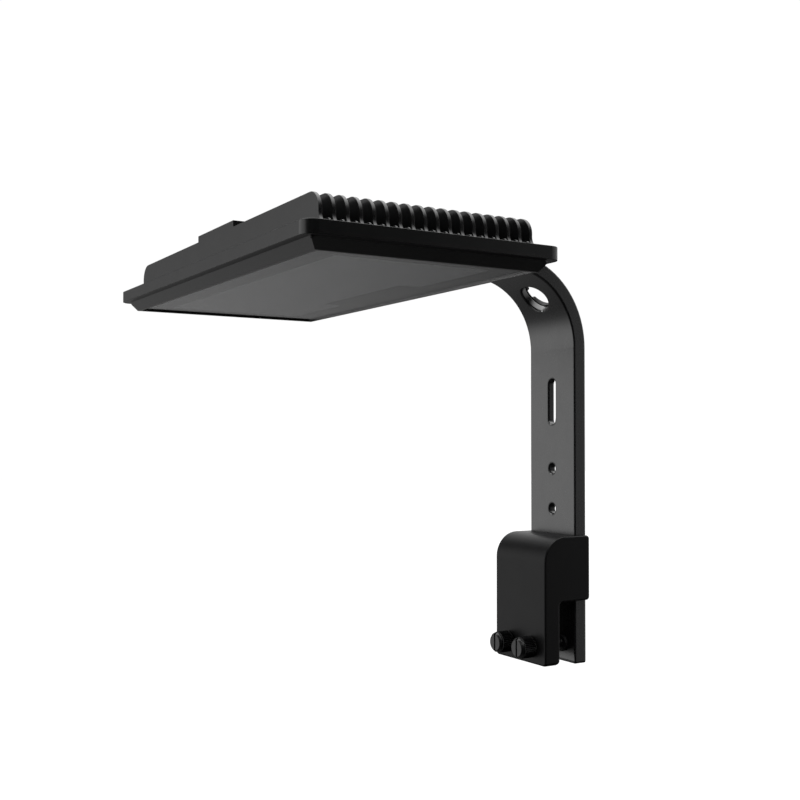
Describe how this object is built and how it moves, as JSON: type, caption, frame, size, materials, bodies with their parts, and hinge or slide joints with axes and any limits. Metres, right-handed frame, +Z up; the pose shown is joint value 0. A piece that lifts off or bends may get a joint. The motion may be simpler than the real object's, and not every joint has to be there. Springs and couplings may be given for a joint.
{
  "type": "led aquarium light",
  "caption": "Flat finned LED light head on a bent channel arm with a screw clamp that hangs over the rim of a glass tank; the head slides along the arm.",
  "frame": {"origin": "centre of the clamp's seat, the underside of the bridge that rests on the glass rim", "axes": "+Z up; the head reaches along -Y from the seat; +X along the head's long side, to the right seen from the front of the head"},
  "size_m": [0.2434, 0.2243, 0.2269],
  "materials": {
    "black_anodised": "satin black anodised",
    "black_cast": "fine matte black powder coat",
    "knob_black": "black anodised, straight knurl",
    "pad_nylon": "matte",
    "ring_plastic": "matte",
    "window_glass": "smoked, glossy",
    "silicone": "soft matte",
    "thermal_sheet": "soft matte",
    "board_white": "white solder mask",
    "led_white": "phosphor under clear resin",
    "led_blue": "clear resin",
    "led_violet": "clear resin",
    "lens_clear": "clear",
    "screw_dark": "black oxide",
    "screw_bright": "plain steel",
    "brass": "plain",
    "board_green": "green solder mask",
    "component_black": "moulded",
    "cover_sheet": "black anodised sheet",
    "inlet_black": "moulded",
    "inlet_nickel": "nickel plated",
    "wire_red": "silicone insulation"
  },
  "bodies": {
    "stand": {"arm_bar": "black_anodised", "cable_ring": "ring_plastic", "clamp_body": "black_cast", "clamp_screws": "screw_dark", "clamp_washers": "screw_bright", "clamp_inserts": "brass", "screw_bushes": "brass"},
    "head": {"heat_sink": "black_anodised", "lower_bezel": "black_anodised", "lens_window": "window_glass", "lens_gasket": "silicone", "thermal_pad": "thermal_sheet", "led_board": "board_white", "white_leds": "led_white", "blue_leds": "led_blue", "violet_leds": "led_violet", "led_lenses": "lens_clear", "board_screws": "screw_bright", "board_link": "component_black", "control_board": "board_green", "control_parts": "component_black", "driver_cover": "cover_sheet", "cover_screws": "screw_bright", "lock_screws": "screw_dark", "lock_washers": "screw_bright", "lock_inserts": "brass", "power_inlet": "inlet_black", "inlet_pins": "brass", "inlet_nut": "inlet_nickel", "inlet_wires": "wire_red"},
    "left_pad": {"screw_pad_left": "pad_nylon"},
    "right_pad": {"screw_pad_right": "pad_nylon"},
    "left_screw": {"thumb_screw_left": "knob_black"},
    "right_screw": {"thumb_screw_right": "knob_black"}
  },
  "joints": [
    {"name": "reach_slide", "type": "slide", "parent": "stand", "child": "head", "axis": [0, 1, 0], "range_m": [-0.015, 0.015]},
    {"name": "left_screw_advance", "type": "slide", "parent": "stand", "child": "left_pad", "axis": [0, -1, 0], "range_m": [0, 0.012]},
    {"name": "left_screw_turn", "type": "hinge", "parent": "left_pad", "child": "left_screw", "pos_m": [-0.0102, 0, -0.0251], "axis": [0, -1, 0], "range_deg": [0, 4325]},
    {"name": "right_screw_advance", "type": "slide", "parent": "stand", "child": "right_pad", "axis": [0, -1, 0], "range_m": [0, 0.012]},
    {"name": "right_screw_turn", "type": "hinge", "parent": "right_pad", "child": "right_screw", "pos_m": [0.0102, 0, -0.0251], "axis": [0, -1, 0], "range_deg": [0, 4325]}
  ],
  "couplings": [
    {"joint": "left_screw_turn", "follows": "left_screw_advance", "rad_per_m": 6283.2},
    {"joint": "right_screw_turn", "follows": "right_screw_advance", "rad_per_m": 6283.2}
  ]
}
